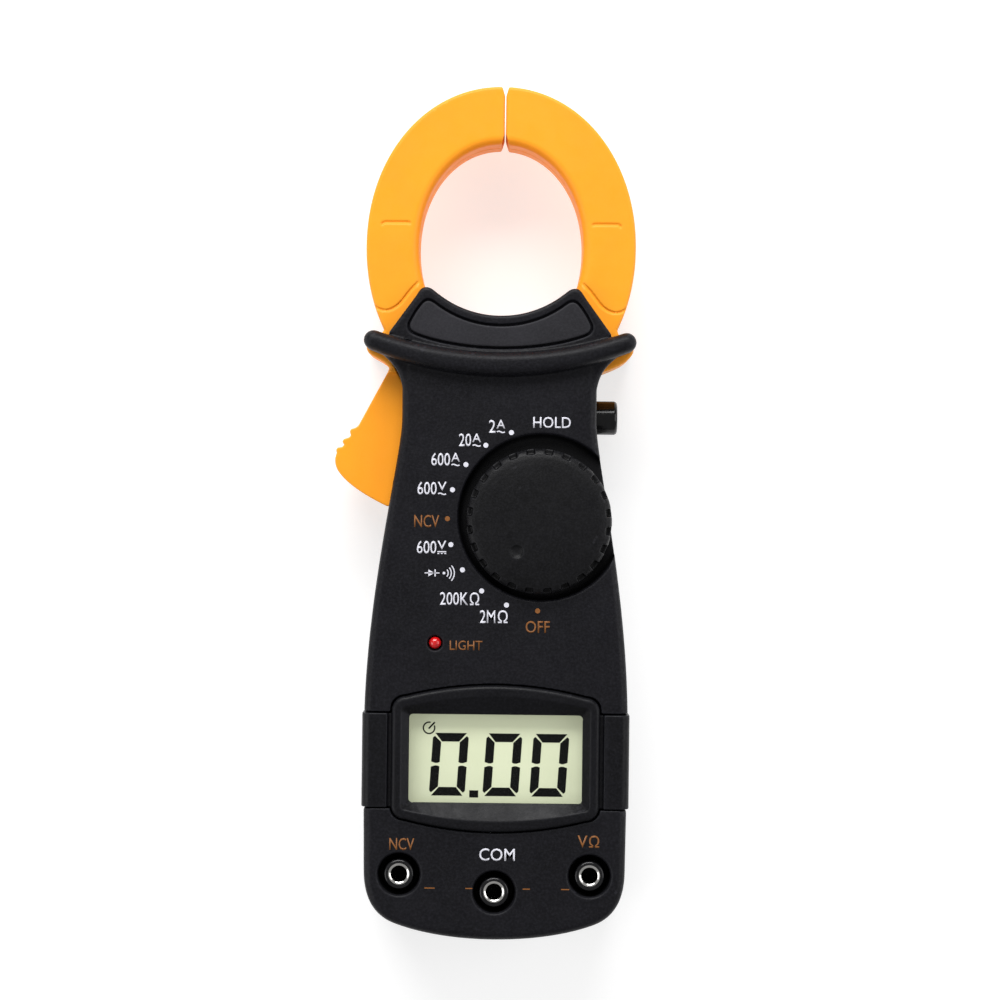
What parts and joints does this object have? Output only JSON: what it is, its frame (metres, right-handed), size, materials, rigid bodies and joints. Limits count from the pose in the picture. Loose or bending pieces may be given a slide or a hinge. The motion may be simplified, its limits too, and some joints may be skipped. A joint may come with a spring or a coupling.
{
  "type": "clamp meter",
  "caption": "Hand-held clamp meter with a ring jaw opened by a side trigger, rotary range switch, numeric display, hold button and three input sockets.",
  "frame": {"origin": "on the flat back of the rear case, on the meter's centre line, between the knob and the display", "axes": "+X to the meter's right seen from the front, +Y towards the jaw tips, +Z out of the front face"},
  "size_m": [0.0741, 0.2095, 0.0356],
  "materials": {
    "case_plastic": "fine moulded texture, near black",
    "gloss_black": "smooth black",
    "jaw_orange": "satin orange",
    "steel": "plated steel",
    "brass": "plated brass",
    "copper": "enamelled copper wire",
    "core_iron": "laminated silicon steel",
    "board": "green solder mask on glass epoxy",
    "dark_component": "moulded epoxy",
    "lcd": "pale green liquid crystal panel",
    "clear": "clear acrylic",
    "led_red": "red LED epoxy",
    "wire_red": "red wire insulation",
    "rubber": "black rubber",
    "white_plastic": "natural white nylon"
  },
  "bodies": {
    "root": {"front_case": "case_plastic", "rear_case": "case_plastic", "display_frame": "case_plastic", "battery_cover": "case_plastic", "hold_switch": "dark_component", "fixed_jaw_front_shell": "jaw_orange", "fixed_jaw_rear_shell": "jaw_orange", "fixed_core": "core_iron", "coil_bobbin": "white_plastic", "coil_winding": "copper", "jaw_pivot_pin": "steel", "jaw_spring": "steel", "main_board": "board", "measuring_chip": "dark_component", "buzzer": "dark_component", "led": "led_red", "lcd_panel": "lcd", "lcd_holder": "white_plastic", "zebra_strip_1": "rubber", "zebra_strip_2": "rubber", "display_window": "clear", "input_jack_left": "brass", "input_jack_com": "brass", "input_jack_right": "brass", "battery": "gloss_black", "battery_snap": "rubber", "battery_wire_red": "wire_red", "battery_wire_black": "rubber", "battery_cover_screw": "steel", "case_screw_1": "steel", "case_screw_2": "steel", "case_screw_3": "steel", "case_screw_4": "steel", "board_screw_1": "steel", "board_screw_2": "steel", "board_screw_3": "steel"},
    "moving_jaw": {"moving_jaw_front_shell": "jaw_orange", "moving_jaw_rear_shell": "jaw_orange", "moving_core": "core_iron"},
    "dial": {"rotary_knob": "case_plastic", "switch_rotor": "white_plastic", "rotor_contact_1": "brass", "rotor_contact_2": "brass", "rotor_contact_3": "brass", "knob_screw": "steel", "detent_ball_1": "steel", "detent_ball_2": "steel", "detent_spring_1": "steel", "detent_spring_2": "steel"},
    "hold_cap": {"hold_button": "gloss_black", "hold_plunger": "white_plastic"}
  },
  "joints": [
    {"name": "jaw_hinge", "type": "hinge", "parent": "root", "child": "moving_jaw", "pos_m": [-0.023, 0.074, 0.016], "axis": [0, 0, 1], "range_deg": [0, 24], "stiffness_Nm_per_rad": 0.4, "springref_deg": -28.65, "deforming": ["jaw_spring"]},
    {"name": "knob_turn", "type": "hinge", "parent": "root", "child": "dial", "pos_m": [0.01, 0.0316, 0.0279], "axis": [0, 0, 1], "range_deg": [-126, 36]},
    {"name": "hold_press", "type": "slide", "parent": "root", "child": "hold_cap", "axis": [-1, 0, 0], "range_m": [0, 0.0018], "stiffness_N_per_m": 800, "springref_m": -0.001}
  ]
}
